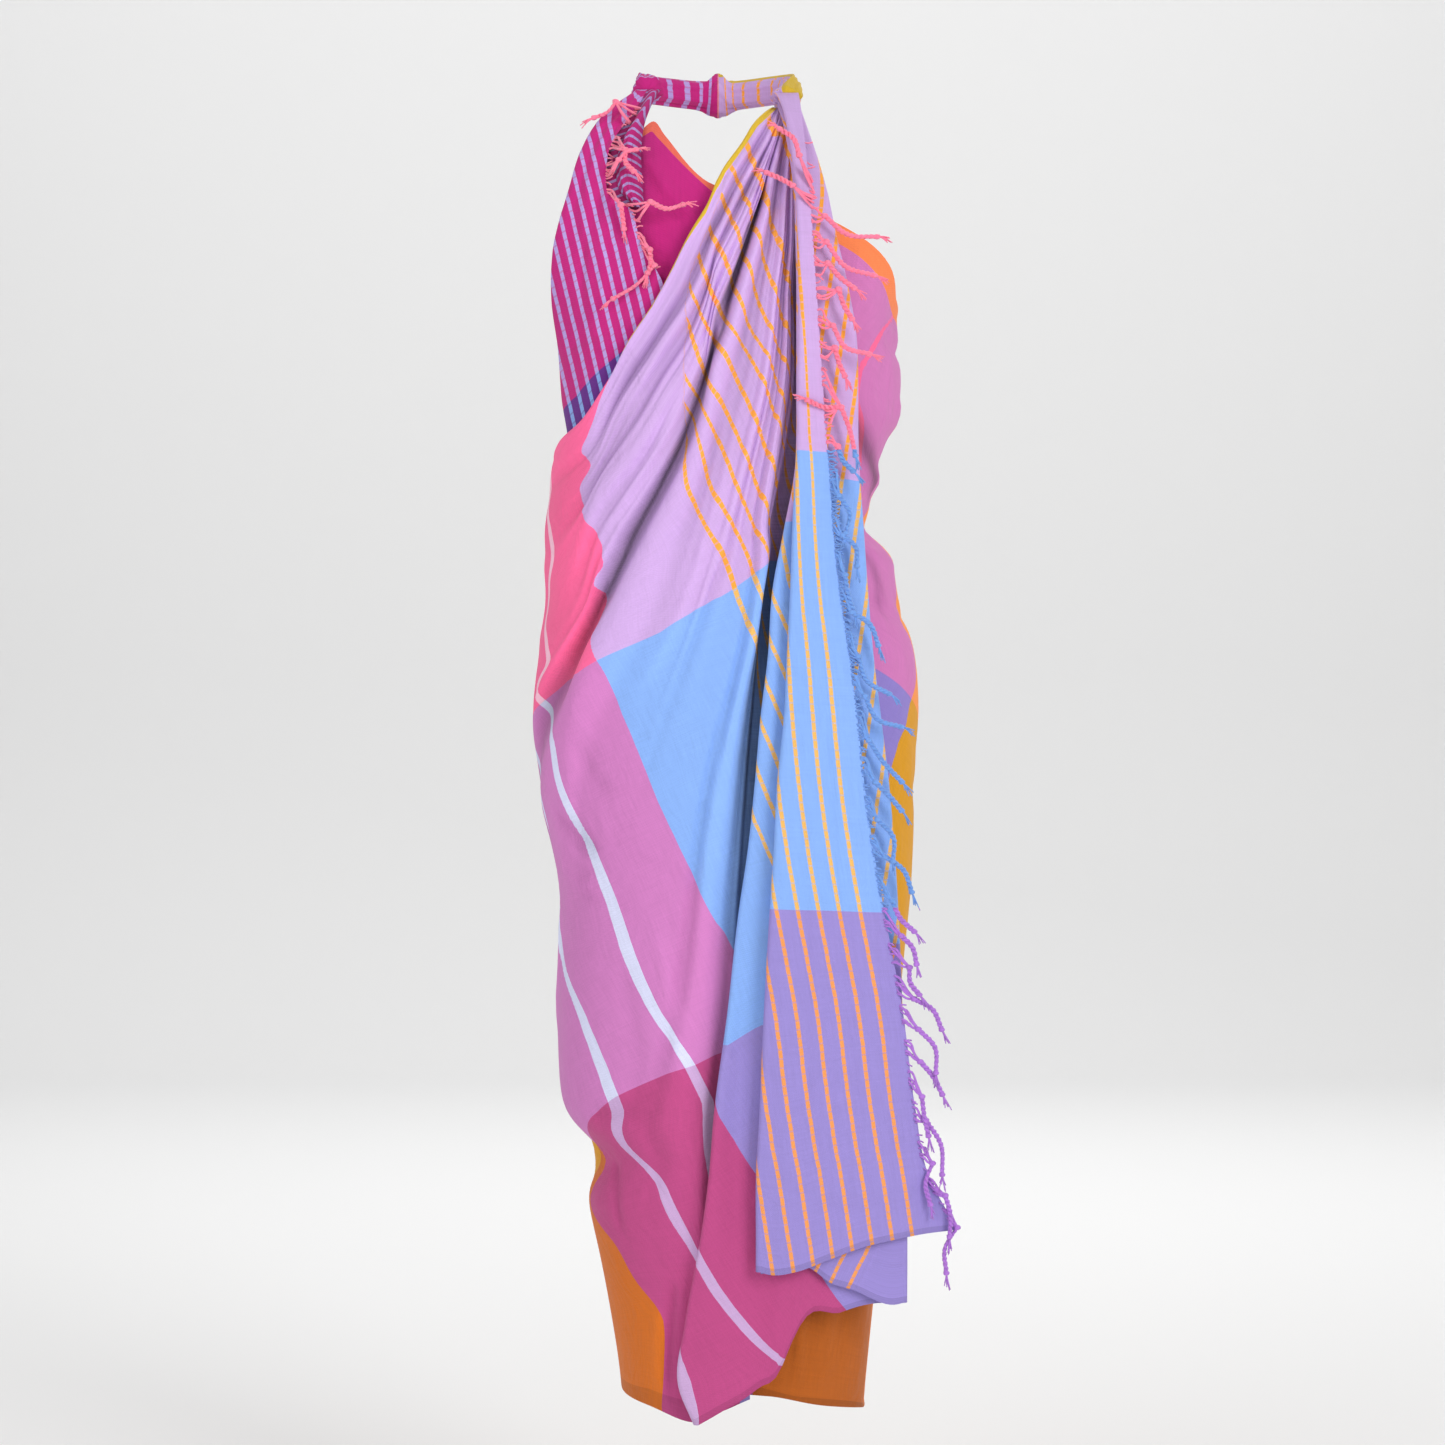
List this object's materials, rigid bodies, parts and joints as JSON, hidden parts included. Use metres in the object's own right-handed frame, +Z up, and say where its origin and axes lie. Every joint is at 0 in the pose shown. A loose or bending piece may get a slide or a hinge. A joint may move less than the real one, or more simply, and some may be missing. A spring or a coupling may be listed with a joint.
{
  "type": "longyi sarong worn as a neck-tied wrap",
  "caption": "Uncut plaid cotton length wound once round a body, tied at the neck, with a folded lapel and a fringed tail of pleats down the front.",
  "frame": {"origin": "middle of the neck at the height of the tie, where the garment is held", "axes": "+Z up, the garment's front faces -Y, +X is the wearer's left"},
  "size_m": [0.3998, 0.2828, 1.2754],
  "materials": {
    "inner_plaid": "matt handwoven cotton plaid, magenta and mauve weft",
    "back_plaid": "matt handwoven cotton plaid, yellow and orange weft",
    "outer_plaid": "matt handwoven cotton plaid, pink and light blue weft",
    "tail_plaid": "matt handwoven cotton plaid, light blue weft with orange stripes",
    "lapel_plaid": "matt handwoven cotton plaid, magenta weft with lilac stripes",
    "tail_yarn": "twisted cotton warp ends, pink above, blue in the middle, purple below",
    "lapel_yarn": "twisted pink cotton warp ends"
  },
  "bodies": {
    "root": {"under_front": "inner_plaid", "right_side": "inner_plaid", "back": "back_plaid", "main_panel": "outer_plaid", "front_pleat": "tail_plaid", "tail_under": "tail_plaid", "tail_front": "tail_plaid", "lapel": "lapel_plaid", "lapel_roll": "lapel_plaid", "neck_tie": "lapel_plaid", "tail_fringe": "tail_yarn", "lapel_fringe": "lapel_yarn"}
  },
  "joints": []
}
